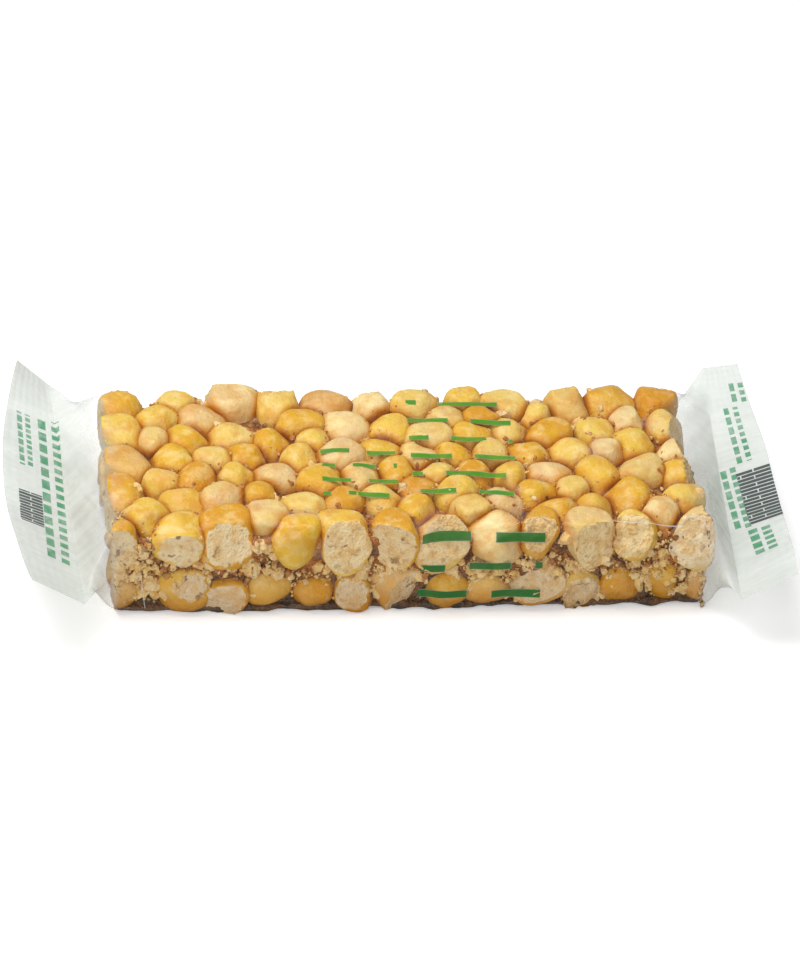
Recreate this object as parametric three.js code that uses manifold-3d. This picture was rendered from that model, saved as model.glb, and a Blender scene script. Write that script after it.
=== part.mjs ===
// Chickpea brittle bar in a clear flow wrap, in millimetres, +Z up.
// Two layers of roasted chickpeas are set in syrup and sawn into a slab. The clear film clings to the slab, so
// there the slab's uneven outside is the sealed wrap's too. At each end the film leaves the slab as a shut
// pleat and is drawn together into a flat crimped fin that tips upwards.
// The origin is on the resting plane, below the middle of the slab. X runs along the bar and -Y is its front.
import * as THREE from "three";
import { mergeVertices } from "three/addons/utils/BufferGeometryUtils.js";
import Module from "manifold-3d";

// The slab
const BAR_LENGTH = 108;
const BAR_WIDTH = 46;
const BAR_HEIGHT = 18.5;
const SYRUP_INSET = 1.7; // from the sawn sides to the syrup between the peas
const SYRUP_TOP_DEPTH = 3.4; // from the level of the pea tops down to the syrup

// The peas
const PEA_RADIUS_SMALL = 3.4;
const PEA_RADIUS_LARGE = 5;
const LAYERS = 2;
const ROWS = 8;
const COLUMNS = 15;
const ROW_PITCH = 7;
const COLUMN_PITCH = 8;
const START_JITTER = 7; // how far a pea may start from its place in the row
const LEVEL_JITTER = 1; // how far a pea may sit below the pressed surface
const LEAN = 0.6; // radians
const OUT_OF_ROUND = 0.16;
const BITE = 0.93; // neighbours settle at this share of the sum of their radii
const SAW_WANDER = 1.2; // how far inside the saw lines a pea may have split
const SETTLE_STEPS = 60;
const SETTLE_PUSH = 0.4; // the share of an overlap that one step takes away
const SQUEEZE = 0.002; // the share by which one step draws the peas in towards the middle
const PEA_SEED = 11;
const PEA_SIDES = 8;
const PEA_RINGS = 5;
const PEA_SWELL = 1.04; // so that a pea of few sides is as large as a round one
const LEAST_INSIDE = 0.35; // a pea with less than this share of its radius inside the saw lines falls off

// The film's ends, measured from the middle of the bar
const WRAP_GAP = 0.3; // between the slab's end and the film's end piece
const SLEEVE_ROUND = 1.6; // how far the sleeve's four corners are drawn in where it leaves the slab
const FIN_THICKNESS = 0.6;
const FIN_CORNER = BAR_HEIGHT / 2; // the flattened side of the sleeve, out past the slab's own width
const PLEAT_STEPS = 3;
const FIN_STEPS = 4;
const END_COLUMNS = 20;
const SIDE_STEPS = 3;
// Where each fin's root, at which the two films meet, and its free edge lie, out along the bar and up. Every
// line has its place at the front corner, in the middle and at the back corner.
const ENDS = {
  wrapper_end_left: {
    side: -1,
    root: { out: [59, 60.5, 62.5], up: [10.5, 10, 12] },
    edge: { out: [68.2, 72, 68.3], up: [16.5, 15.5, 17] },
    ripple: 0.5,
    ripples: 2.5,
  },
  wrapper_end_right: {
    side: 1,
    root: { out: [57.5, 59.5, 61], up: [9.5, 10, 14.5] },
    edge: { out: [67, 68.5, 67.6], up: [15, 13.5, 15.5] },
    ripple: 0.5,
    ripples: 2,
  },
};

const wasm = await Module();
wasm.setup();

// A repeatable stream of numbers from 0 to 1.
function seededRandom(seed) {
  let state = seed >>> 0;
  return () => {
    state = (Math.imul(state, 1664525) + 1013904223) >>> 0;
    return state / 4294967296;
  };
}

// Unequal peas strewn along rows in two layers, drawn together and pushed apart until neighbours only just bite.
function settlePeas() {
  const random = seededRandom(PEA_SEED);
  const spread = (size) => (random() - 0.5) * size;
  const peas = [];
  for (let layer = 0; layer < LAYERS; layer++) {
    for (let row = 0; row < ROWS; row++) {
      for (let column = 0; column < COLUMNS; column++) {
        const stagger = ((row + layer) % 2) / 2 - 0.25;
        const radius = PEA_RADIUS_SMALL + (PEA_RADIUS_LARGE - PEA_RADIUS_SMALL) * random();
        const x = (column - (COLUMNS - 1) / 2 + stagger) * COLUMN_PITCH + spread(START_JITTER);
        const y = (row - (ROWS - 1) / 2) * ROW_PITCH + spread(START_JITTER);
        const depth = radius + LEVEL_JITTER * random() * random();
        const level = layer === 0 ? depth : BAR_HEIGHT - depth;
        const turn = [spread(LEAN), spread(LEAN), spread(2 * Math.PI)];
        const stretch = [1 + spread(OUT_OF_ROUND), 1 + spread(OUT_OF_ROUND), 1];
        const split = SAW_WANDER * random();
        peas.push({ x, y, z: level, radius, level, turn, stretch, split });
      }
    }
  }
  for (let step = 0; step < SETTLE_STEPS; step++) {
    for (let i = 0; i < peas.length; i++) {
      for (let j = i + 1; j < peas.length; j++) {
        pushApart(peas[i], peas[j]);
      }
    }
    for (const pea of peas) {
      pea.x *= 1 - SQUEEZE;
      pea.y *= 1 - SQUEEZE;
      pea.z += (pea.level - pea.z) * SETTLE_PUSH;
    }
  }
  return peas;
}

function pushApart(a, b) {
  const dx = b.x - a.x;
  const dy = b.y - a.y;
  const dz = b.z - a.z;
  const apart = Math.sqrt(dx * dx + dy * dy + dz * dz);
  const wanted = (a.radius + b.radius) * BITE;
  if (apart >= wanted) return;
  const push = ((wanted - apart) / apart) * SETTLE_PUSH * 0.5;
  a.x -= dx * push;
  a.y -= dy * push;
  a.z -= dz * push;
  b.x += dx * push;
  b.y += dy * push;
  b.z += dz * push;
}

// True if enough of the pea lies inside the saw lines for it to stay in the slab.
function staysIn(pea) {
  const reach = pea.radius * (1 - LEAST_INSIDE);
  return Math.abs(pea.x) < BAR_LENGTH / 2 + reach && Math.abs(pea.y) < BAR_WIDTH / 2 + reach;
}

// The space inside the saw lines, taken in by a margin on the four sawn sides.
function sawnBlock(margin) {
  const block = new THREE.BoxGeometry(BAR_LENGTH - 2 * margin, BAR_WIDTH - 2 * margin, BAR_HEIGHT);
  return solid(block.translate(0, 0, BAR_HEIGHT / 2));
}

function peaSolid({ x, y, z, radius, turn, stretch, split }) {
  const geometry = new THREE.SphereGeometry(radius * PEA_SWELL, PEA_SIDES, PEA_RINGS).rotateX(Math.PI / 2);
  geometry.scale(...stretch);
  geometry.applyMatrix4(new THREE.Matrix4().makeRotationFromEuler(new THREE.Euler(...turn, "ZYX")));
  geometry.translate(x, y, z);
  return solid(geometry).intersect(sawnBlock(split));
}

// A closed three.js geometry as a solid that can be joined and cut.
function solid(geometry) {
  const bare = geometry.clone();
  bare.deleteAttribute("normal");
  bare.deleteAttribute("uv");
  const merged = mergeVertices(bare, 1e-4);
  return new wasm.Manifold(
    new wasm.Mesh({
      numProp: 3,
      vertProperties: new Float32Array(merged.attributes.position.array),
      triVerts: new Uint32Array(merged.index.array),
    }),
  );
}

function geometryOf(made) {
  const { vertProperties, triVerts } = made.getMesh();
  const geometry = new THREE.BufferGeometry();
  geometry.setAttribute("position", new THREE.BufferAttribute(vertProperties, 3));
  geometry.setIndex(new THREE.BufferAttribute(triVerts, 1));
  geometry.computeVertexNormals();
  return geometry;
}

// The slab: split peas fused onto a core of syrup.
function brittleGeometry() {
  const coreHeight = BAR_HEIGHT - SYRUP_TOP_DEPTH; // the syrup has run down and set flat on the tray
  const core = new THREE.BoxGeometry(
    BAR_LENGTH - 2 * SYRUP_INSET,
    BAR_WIDTH - 2 * SYRUP_INSET,
    coreHeight,
  ).translate(0, 0, coreHeight / 2);
  const peas = settlePeas().filter(staysIn).map(peaSolid);
  const fused = wasm.Manifold.union([solid(core), ...peas]);
  const largestFirst = fused.decompose().sort((a, b) => b.volume() - a.volume());
  return geometryOf(largestFirst[0]);
}

// The place at y on a line that bends evenly through its front, middle and back places.
function along([front, middle, back], y) {
  const across = y / (BAR_WIDTH / 2 + FIN_CORNER);
  return middle + ((back - front) / 2) * across + ((back + front) / 2 - middle) * across * across;
}

// The middle of the fin's thickness at y, fin being the share of the way from its root to its free edge.
function finPlace({ root, edge, ripple, ripples }, y, fin) {
  const wave = Math.sin((ripples * Math.PI * y) / (BAR_WIDTH / 2 + FIN_CORNER));
  return {
    out: along(root.out, y) * (1 - fin) + along(edge.out, y) * fin,
    up: along(root.up, y) * (1 - fin) + along(edge.up, y) * fin + ripple * wave * fin,
  };
}

// A block bent into one end of the film. Its inner face stands against the slab, its top and bottom slope
// together in the pleat, and its two sides fold flat outwards to make the corners of the fin.
function wrapEndGeometry(end) {
  const block = new THREE.BoxGeometry(1, 2, 2, PLEAT_STEPS + FIN_STEPS, END_COLUMNS, SIDE_STEPS);
  const geometry = mergeVertices(block.deleteAttribute("normal").deleteAttribute("uv"));
  const places = geometry.attributes.position;
  const sleeveEnd = BAR_LENGTH / 2 + WRAP_GAP;
  const point = new THREE.Vector3();
  for (let i = 0; i < places.count; i++) {
    point.fromBufferAttribute(places, i);
    const step = Math.round((point.x + 0.5) * (PLEAT_STEPS + FIN_STEPS));
    const pleat = Math.min(step / PLEAT_STEPS, 1);
    const spread = (pleat * (3 - pleat)) / 2; // the taut film widens early
    const closed = (pleat * (1 + pleat)) / 2; // and comes together late
    const fin = Math.max(step - PLEAT_STEPS, 0) / FIN_STEPS;
    const onSide = Math.abs(point.y) > 0.999;
    const fold = onSide ? Math.min(((1 - Math.abs(point.z)) * SIDE_STEPS) / (SIDE_STEPS - 1), 1) : 0;
    const drawn = onSide && Math.abs(point.z) > 0.999 ? SLEEVE_ROUND * (1 - pleat) : 0;
    const y = (point.y * BAR_WIDTH) / 2 + Math.sign(point.y) * (fold * FIN_CORNER * spread - drawn);
    const place = finPlace(end, y, fin);
    const open = (BAR_HEIGHT / 2) * (1 + point.z) - Math.sign(point.z) * drawn;
    const shut = place.up + (Math.sign(point.z) * FIN_THICKNESS) / 2;
    const x = sleeveEnd + (place.out - sleeveEnd) * pleat;
    places.setXYZ(i, end.side * x, y, open + (shut - open) * closed);
  }
  if (end.side < 0) {
    geometry.index.array.reverse(); // the mirrored end keeps its faces pointing out
  }
  geometry.computeVertexNormals();
  return geometry;
}

function part(name, geometry, color, roughness) {
  const mesh = new THREE.Mesh(geometry, new THREE.MeshStandardMaterial({ color, roughness, metalness: 0 }));
  mesh.name = name;
  return mesh;
}

const bar = new THREE.Group();
bar.add(part("brittle", brittleGeometry(), 0xe2a94a, 0.45));
for (const [name, end] of Object.entries(ENDS)) {
  bar.add(part(name, wrapEndGeometry(end), 0xf0f1ee, 0.25));
}

export default bar;
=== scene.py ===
# Chickpea brittle bar in a clear flow wrap: the looks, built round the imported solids. Metres, +Z up.
import math

import bpy
from mathutils import Euler, Matrix, Vector


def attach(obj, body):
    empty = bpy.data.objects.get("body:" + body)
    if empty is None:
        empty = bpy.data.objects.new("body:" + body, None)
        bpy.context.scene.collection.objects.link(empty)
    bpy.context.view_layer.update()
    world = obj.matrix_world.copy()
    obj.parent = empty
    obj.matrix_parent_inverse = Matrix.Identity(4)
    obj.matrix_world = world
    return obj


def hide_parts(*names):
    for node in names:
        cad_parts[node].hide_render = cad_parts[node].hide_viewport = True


MM = 0.001
FULL_TURN = 6.3  # a little more than round

# The slab and its peas, as the solids have them, in millimetres
BAR_LENGTH = 108
BAR_WIDTH = 46
BAR_HEIGHT = 18.5
SYRUP_INSET = 1.7
SYRUP_TOP_DEPTH = 3.4
PEA_RADIUS_SMALL = 3.4
PEA_RADIUS_LARGE = 5
LAYERS = 2
ROWS = 8
COLUMNS = 15
ROW_PITCH = 7
COLUMN_PITCH = 8
START_JITTER = 7
LEVEL_JITTER = 1
LEAN = 0.6
OUT_OF_ROUND = 0.16
BITE = 0.93
SAW_WANDER = 1.2
SETTLE_STEPS = 60
SETTLE_PUSH = 0.4
SQUEEZE = 0.002
PEA_SEED = 11
LEAST_INSIDE = 0.35
TOP_LAYER = LAYERS - 1

# The film, as the solids of its two ends have it, in millimetres
WRAP_GAP = 0.3
SLEEVE_ROUND = 1.6
FIN_CORNER = BAR_HEIGHT / 2
# root and edge are lines, given by how far out and how high they lie at the front, in the middle and at the back
ENDS = {
    -1: {
        "root": ((59, 60.5, 62.5), (10.5, 10, 12)),
        "edge": ((68.2, 72, 68.3), (16.5, 15.5, 17)),
        "ripples": 2.5,
    },
    1: {
        "root": ((57.5, 59.5, 61), (9.5, 10, 14.5)),
        "edge": ((67, 68.5, 67.6), (15, 13.5, 15.5)),
        "ripples": 2,
    },
}
FIN_RIPPLE = 0.5

# What only the looks have, in millimetres
FILM_ROOM = 0.15  # between the food and the level of the film
SYRUP_VOXEL = 0.5
SYRUP_SINK = 0.65  # how far the syrup lies behind the faces of the split peas
FOOT_HEIGHT = 1.3  # the syrup that has run out on the tray
FOOT_INSET_ENDS = 1
FOOT_INSET_SIDES = 0.9
FOOT_VOXEL = 0.9
FOOT_LEVEL = 0.05
FOOT_LUMP_SIZE = 5
FOOT_LUMP_HEIGHT = 2

# How the peas of the looks are set, in millimetres where it isn't a share
SIDE_BAND = 6  # the peas with their middle this near to a sawn side show on it
ROW_SEED = 501
ROW_LENGTHS = ((1, BAR_LENGTH - 1), (0, BAR_WIDTH - 16))  # across y along the sides, then across x between them
ROW_OVERLAP = 0.78  # of two radii; of peas that lie closer than this only the larger stays in the row
ROW_FILL_LEAST = 0.9
ROW_FILL_MOST = 1.15
ROW_JITTER = 1
ROW_INSIDE = 0.45  # how much of its radius a pea of a row has inside the saw line, and how much more at most
ROW_INSIDE_MORE = 0.4
ROW_RISE = 0.6
ROW_GROWTH = 1.05
ROW_STRETCH = 1.16
MIDDLE_GROWTH = 0.97
STRETCH = 1.04
SPREAD_AGAIN_STEPS = 14
PEA_SPREAD = 1.05  # a pressed pea is wider and lower than a ball
PEA_FLATNESS = 0.92
WHOLE_SHARES = (0.5, 0.2)  # of the peas at the sides that stay whole, by layer
WHOLE_SQUEEZE = 0.6  # how far a whole pea and any pea may be pressed in instead of split
ANY_SQUEEZE = 0.97
LEVEL_KEEP = 0.05  # what stays of the height of a pea past the levels
SAW_LEAN = 0.7
SAW_LEAN_UP = 1.1
SAW_LEAN_MIDDLE = 0.4
CRUMBLE_LEAST = 0.08
CRUMBLE_MORE = 0.7
PEA_SEEDS = 9000

# Where caramel and painted shade lie on the peas, in millimetres where it isn't a share
NEAR_GAP = 1.2  # past which a neighbour is left out of account
# caramel with painted contact shade darkens a pea where it nears its neighbours
GLAZE_SHADE_GAP = 1.7  # from the neighbours, where the glaze ends
GLAZE_SHADE_FADE = 1.8
GLAZE_SHADE_POWER = 1.3
SAWN_BARE = 0.6  # from the sawn sides, where the glaze begins
SAWN_FADE = 1.6
# painted shade: the peas darken towards the bottom of the slab, below this level, up to this share
LOW_SHADE_LEVEL = 9
LOW_SHADE_MOST = 0.7
COATED_SHARE = 0.2  # here and there a pea is coated all over
COATED_MOST = 0.32

# How crumbs are shaped and lie
CRUMB_SEEDS = 40
BIT_SEEDS = 80
CRUMB_FAR = 0.08  # metres, outside the slab on any side
DEEPEST_HOLLOW = 6  # millimetres, past which a ray has missed the slab
CRUMB_HIDDEN = 0.8  # of its size, the least depth of the hollow it lies in
CRUMB_SUNK = 0.35  # of its size
CRUMBLY_BETWEEN = -1  # millimetres, from the peas, where crumbs lie anywhere
CRUMB_SMOOTH_ANGLE = math.radians(40)

# The photograph's camera
CAMERA_AZIMUTH = math.radians(-9.34)
CAMERA_ELEVATION = math.radians(36)
CAMERA_ROLL = math.radians(4.9)
CAMERA_DISTANCE = 757 * MM
CAMERA_AIM = Vector((0, 0, 9 * MM))
CAMERA_AIM_RIGHT = -0.12 * MM
CAMERA_AIM_UP = 1.23 * MM
LENS_PER_WIDTH = 4164 / 800  # the focal length, in widths of the picture
SENSOR = 36

# How far the slab reaches from its middle, and up, in millimetres
REACH = (BAR_LENGTH / 2, BAR_WIDTH / 2, BAR_HEIGHT)

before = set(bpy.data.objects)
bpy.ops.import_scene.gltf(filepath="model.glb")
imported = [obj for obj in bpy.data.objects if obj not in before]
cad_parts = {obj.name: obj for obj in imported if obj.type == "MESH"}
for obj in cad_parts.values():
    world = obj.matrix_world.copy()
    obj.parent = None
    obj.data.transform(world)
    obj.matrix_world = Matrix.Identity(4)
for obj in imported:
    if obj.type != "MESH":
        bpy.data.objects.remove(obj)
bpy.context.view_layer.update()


# ---- small helpers


def seeded_random(seed):
    """A repeatable stream of numbers from 0 to 1, the same as the solids were laid out with."""
    state = seed & 0xFFFFFFFF

    def draw():
        nonlocal state
        state = (state * 1664525 + 1013904223) & 0xFFFFFFFF
        return state / 4294967296

    return draw


def held(value, least=0, most=1):
    return min(max(value, least), most)


def facing(axis, side):
    """The direction of an axis, or against it where side is -1."""
    way = Vector((0, 0, 0))
    way[axis] = side
    return way


def any_turn(draw):
    return Euler((draw() * FULL_TURN, draw() * FULL_TURN, draw() * FULL_TURN), "XYZ").to_matrix().to_4x4()


def take_up(*pieces):
    """Selects these pieces alone, the first one active."""
    bpy.ops.object.select_all(action="DESELECT")
    for piece in pieces:
        piece.select_set(True)
    bpy.context.view_layer.objects.active = pieces[0]


def to_edit(select="DESELECT"):
    bpy.ops.object.mode_set(mode="EDIT")
    bpy.ops.mesh.select_all(action=select)


def to_object():
    bpy.ops.object.mode_set(mode="OBJECT")


def add_shape(name, add, **settings):
    """Adds one of the basic shapes with nothing else selected."""
    bpy.ops.object.select_all(action="DESELECT")
    add(**settings)
    piece = bpy.context.view_layer.objects.active
    piece.name = name
    return piece


def add_box(name, length, width, height, bottom):
    """A box on the middle of the frame, in millimetres."""
    box = add_shape(
        name,
        bpy.ops.mesh.primitive_cube_add,
        size=1,
        location=(0, 0, (height / 2 + bottom) * MM),
        scale=(length * MM, width * MM, height * MM),
    )
    bpy.ops.object.transform_apply(location=True, rotation=True, scale=True)
    return box


def pick_vertices(piece, wanted):
    """Leaves edit mode selected on the vertices for which wanted(place) is true."""
    to_object()
    mesh = piece.data
    for vertex in mesh.vertices:
        vertex.select = wanted(vertex.co)
    for edge in mesh.edges:
        edge.select = all(mesh.vertices[i].select for i in edge.vertices)
    for face in mesh.polygons:
        face.select = all(mesh.vertices[i].select for i in face.vertices)
    bpy.ops.object.mode_set(mode="EDIT")


def finish_with(piece, kind, **settings):
    """Adds one modifier, sets it and applies it."""
    take_up(piece)
    modifier = piece.modifiers.new(kind.title(), kind)
    for key, value in settings.items():
        setattr(modifier, key, value)
    bpy.ops.object.modifier_apply(modifier=modifier.name)


def show(piece):
    bpy.context.scene.collection.objects.link(piece)


def copy_of(piece, name):
    """A copy with a mesh of its own."""
    twin = piece.copy()
    twin.data = piece.data.copy()
    twin.name = name
    show(twin)
    return twin


def paint_all(piece, material):
    piece.data.materials.clear()
    piece.data.materials.append(material)


def join(pieces, name):
    take_up(*pieces)
    bpy.ops.object.join()
    joined = bpy.context.view_layer.objects.active
    joined.name = name
    return joined


def paint_value(piece, name, values):
    """Stores one number a vertex for a material to read."""
    layer = piece.data.attributes.get(name) or piece.data.attributes.new(name, "FLOAT", "POINT")
    layer.data.foreach_set("value", values)


# ---- where the peas lie


def settle_peas():
    """Unequal peas strewn along rows in two layers, drawn together and pushed apart, in millimetres."""
    draw = seeded_random(PEA_SEED)

    def spread(size):
        return (draw() - 0.5) * size

    settled = []
    for layer in range(LAYERS):
        for row in range(ROWS):
            for column in range(COLUMNS):
                stagger = ((row + layer) % 2) / 2 - 0.25
                radius = PEA_RADIUS_SMALL + (PEA_RADIUS_LARGE - PEA_RADIUS_SMALL) * draw()
                x = (column - (COLUMNS - 1) / 2 + stagger) * COLUMN_PITCH + spread(START_JITTER)
                y = (row - (ROWS - 1) / 2) * ROW_PITCH + spread(START_JITTER)
                depth = radius + LEVEL_JITTER * draw() * draw()
                level = depth if layer == 0 else BAR_HEIGHT - depth
                turn = [spread(LEAN), spread(LEAN), spread(2 * math.pi)]
                stretch = [1 + spread(OUT_OF_ROUND), 1 + spread(OUT_OF_ROUND), 1]
                pea = {"place": [x, y, level], "radius": radius, "level": level, "layer": layer}
                pea.update(turn=turn, stretch=stretch, split=SAW_WANDER * draw())
                settled.append(pea)
    for _ in range(SETTLE_STEPS):
        push_all_apart(settled)
        for pea in settled:
            pea["place"][0] *= 1 - SQUEEZE
            pea["place"][1] *= 1 - SQUEEZE
            pea["place"][2] += (pea["level"] - pea["place"][2]) * SETTLE_PUSH
    return settled


def push_all_apart(peas):
    for i, one in enumerate(peas):
        for other in peas[i + 1 :]:
            push_apart(one["place"], other["place"], (one["radius"] + other["radius"]) * BITE)


def push_apart(a, b, wanted):
    """Moves two places that are nearer than wanted a little apart."""
    dx = b[0] - a[0]
    if dx > wanted or -dx > wanted:
        return
    dy = b[1] - a[1]
    if dy > wanted or -dy > wanted:
        return
    dz = b[2] - a[2]
    apart = math.sqrt(dx * dx + dy * dy + dz * dz)
    if apart >= wanted:
        return
    push = ((wanted - apart) / apart) * SETTLE_PUSH * 0.5
    a[0] -= dx * push
    a[1] -= dy * push
    a[2] -= dz * push
    b[0] += dx * push
    b[1] += dy * push
    b[2] += dz * push


def stays_in(pea):
    beyond = pea["radius"] * (1 - LEAST_INSIDE)
    x, y, _ = pea["place"]
    return abs(x) < REACH[0] + beyond and abs(y) < REACH[1] + beyond


peas = [pea for pea in settle_peas() if stays_in(pea)]


# ---- the shapes of a chickpea


def lump(piece, size, strength, place):
    """Pushes the skin in and out in soft lumps, read round an empty so that each shape gets its own."""
    cloud = bpy.data.textures.new(piece.name + "_lumps", "CLOUDS")
    cloud.noise_scale = size
    cloud.noise_depth = 1
    where = bpy.data.objects.new(piece.name + "_lumps_place", None)
    where.location = place
    show(where)
    finish_with(
        piece,
        "DISPLACE",
        texture=cloud,
        texture_coords="OBJECT",
        texture_coords_object=where,
        strength=strength,
        mid_level=0.5,
    )
    bpy.data.objects.remove(where)


def flatten_beyond(piece, at, way, keep=0.0):
    """Presses everything beyond a plane back towards it, in edit mode."""
    across = way.to_track_quat("Z", "Y").to_matrix().transposed()
    pick_vertices(piece, lambda co: (co - at).dot(way) > -1e-6)
    bpy.ops.transform.resize(
        value=(1, 1, keep),
        orient_type="GLOBAL",
        orient_matrix=[list(line) for line in across],
        orient_matrix_type="GLOBAL",
        center_override=tuple(at),
    )


def press_beyond(piece, at, way, keep=0.0):
    """Does the same to a piece that isn't in edit mode."""
    take_up(piece)
    to_edit()
    flatten_beyond(piece, at, way, keep)
    to_object()


SHAPE_SEEDS = 700
SEAM_PRESSES = ((0.2, 0.35), (0.09, 0.65))  # how wide, and what share of the depth
SEAM_END = -0.45
BEAK = Vector((0, 0.75, 0.62))
BEAK_SIZE = 0.2
BEAK_PULL_OUT, BEAK_PULL_UP = 0.12, 0.1
BEAK_FADE = 0.6
PRESS_FROM, PRESS_SPREAD, PRESS_KEEP = 0.84, 0.08, 0.35  # how far out a flat lies, and what stays beyond it
HALF_WAY = Vector((0.97, 0.1, 0.2)).normalized()  # across the flat of a pea that has come apart at its seam
HALF_AT, HALF_KEEP = 0.12, 0.12
LUMP_SIZE, DIMPLE_SIZE, DIMPLE_DEPTH = 0.95, 0.3, 0.04


def chickpea_shape(number, build, squareness, lumpiness, seam, beak, presses, half):
    """One pea of radius 1 or so: a ball with two lobes, a seam, a beak and flats that its neighbours pressed."""
    pea = add_shape(f"pea_shape_{number}", bpy.ops.mesh.primitive_ico_sphere_add, subdivisions=4, radius=1)
    draw = seeded_random(SHAPE_SEEDS + number)
    if squareness:
        finish_with(pea, "CAST", cast_type="CUBOID", factor=squareness)
    take_up(pea)
    to_edit()
    if seam:
        for width, share in SEAM_PRESSES:
            pick_vertices(pea, lambda co: abs(co.x) < width and co.z > SEAM_END)
            bpy.ops.transform.resize(value=(1, 1 - seam * share, 1 - seam * share), center_override=(0, 0, 0))
    pick_vertices(pea, lambda co: (co - BEAK).length < BEAK_SIZE)
    bpy.ops.transform.translate(
        value=(0, BEAK_PULL_OUT * beak, BEAK_PULL_UP * beak),
        use_proportional_edit=True,
        proportional_edit_falloff="SMOOTH",
        proportional_size=BEAK_FADE,
    )
    for _ in range(presses):
        way = Vector((draw() - 0.5, draw() - 0.5, draw() - 0.5)).normalized()
        flatten_beyond(pea, way * (PRESS_FROM + PRESS_SPREAD * draw()), way, PRESS_KEEP)
    if half:
        flatten_beyond(pea, HALF_WAY * HALF_AT, HALF_WAY, HALF_KEEP)
    to_object()
    lump(pea, LUMP_SIZE, lumpiness, (3.1 * number, 1.7 * number, 0))
    finish_with(pea, "SMOOTH", factor=0.5, iterations=7)
    lump(pea, DIMPLE_SIZE, DIMPLE_DEPTH, (0, 2.3 * number, 1.1 * number))
    # every shape has the same middle size, whatever was pressed or lumped
    size = sum(vertex.co.length for vertex in pea.data.vertices) / len(pea.data.vertices)
    pea.data.transform(Matrix.Diagonal([part / size for part in build] + [1]))
    take_up(pea)
    bpy.ops.object.shade_smooth()
    return pea


#    build, squareness, lumpiness, seam, beak, presses, half
PEA_LOOKS = [
    ((1.10, 1.00, 0.98), 0.10, 0.20, 0.12, 1.2, 1, False),
    ((1.24, 1.03, 0.95), 0.40, 0.20, 0.00, 0.4, 1, False),
    ((1.04, 1.08, 1.00), 0.00, 0.26, 0.18, 1.8, 0, False),
    ((1.30, 1.00, 0.92), 0.20, 0.30, 0.00, 0.6, 2, False),
    ((1.02, 1.10, 1.02), 0.45, 0.22, 0.08, 0.5, 1, False),
    ((1.18, 0.98, 1.00), 0.50, 0.26, 0.00, 0.2, 1, False),
    ((1.10, 1.10, 0.96), 0.08, 0.40, 0.00, 0.8, 1, False),
    ((1.12, 1.20, 1.12), 0.05, 0.20, 0.00, 0.8, 0, True),
]
pea_shapes = [chickpea_shape(number, *look) for number, look in enumerate(PEA_LOOKS)]


# ---- effects that several finishes share


def rgb(red, green, blue):
    """A colour as seen on a screen, 0 to 255, in the linear values that a shader takes."""
    shares = (red / 255, green / 255, blue / 255)
    return tuple(((c + 0.055) / 1.055) ** 2.4 if c > 0.04045 else c / 12.92 for c in shares) + (1,)


def new_effect(name, vectors, numbers, result):
    """An empty node group with these inputs and one number that comes out, and its two ends."""
    group = bpy.data.node_groups.new(name, "ShaderNodeTree")
    for label in vectors:
        group.interface.new_socket(name=label, in_out="INPUT", socket_type="NodeSocketVector")
    for label in numbers:
        group.interface.new_socket(name=label, in_out="INPUT", socket_type="NodeSocketFloat")
    group.interface.new_socket(name=result, in_out="OUTPUT", socket_type="NodeSocketFloat")
    return group, group.nodes.new("NodeGroupInput").outputs, group.nodes.new("NodeGroupOutput").inputs[result]


def feed(tree, node, **inputs):
    """Sets or links a node's inputs, by name with _ for a space, or by number as in i0."""
    for key, value in inputs.items():
        socket = node.inputs[int(key[1:]) if key[1:].isdigit() else key.replace("_", " ")]
        if isinstance(value, bpy.types.NodeSocket):
            tree.links.new(value, socket)
        else:
            socket.default_value = value


def put(tree, kind, settings=None, **inputs):
    """Adds a node, sets it and feeds it."""
    node = tree.nodes.new(kind)
    for key, value in (settings or {}).items():
        setattr(node, key, value)
    feed(tree, node, **inputs)
    return node


def calc(tree, operation, first, second=0.0, clamp=False):
    return put(tree, "ShaderNodeMath", {"operation": operation, "use_clamp": clamp}, i0=first, i1=second).outputs[0]


def times(tree, first, second, clamp=False):
    return calc(tree, "MULTIPLY", first, second, clamp)


def blend(tree, share, first, second):
    """The first colour, turning into the second as share goes from 0 to 1."""
    return put(tree, "ShaderNodeMix", {"data_type": "RGBA"}, i0=share, i6=first, i7=second).outputs[2]


def painted(tree, name):
    return put(tree, "ShaderNodeAttribute", {"attribute_name": name}).outputs["Fac"]


def place_on(tree):
    return put(tree, "ShaderNodeTexCoord").outputs["Object"]


def noise_on(tree, place, per_metre, **settings):
    return put(tree, "ShaderNodeTexNoise", Vector=place, Scale=per_metre, **settings).outputs["Fac"]


def mask_effect():
    """Soft-edged patches: 1 where a noise of this size is above the middle, 0 where it is below."""
    group, given, mask = new_effect("patches", ["Place"], ["Per Metre", "Middle", "Softness"], "Mask")
    noise = noise_on(group, given["Place"], given["Per Metre"], Detail=3)
    low = calc(group, "SUBTRACT", given["Middle"], given["Softness"])
    high = calc(group, "ADD", given["Middle"], given["Softness"])
    smooth = {"interpolation_type": "SMOOTHSTEP"}
    step = put(group, "ShaderNodeMapRange", smooth, Value=noise, From_Min=low, From_Max=high)
    group.links.new(step.outputs["Result"], mask)
    return group


def crumble_effect():
    """The height of a broken, crumbly surface: grains on lumps."""
    group, given, height = new_effect("crumble", ["Place"], ["Per Metre", "Grain"], "Height")
    coarse = noise_on(group, given["Place"], given["Per Metre"], Detail=4)
    finer = times(group, given["Per Metre"], 2.6)
    grains = put(group, "ShaderNodeTexVoronoi", Vector=given["Place"], Scale=finer)
    grain = times(group, grains.outputs["Distance"], given["Grain"])
    group.links.new(calc(group, "ADD", coarse, grain), height)
    return group


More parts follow.
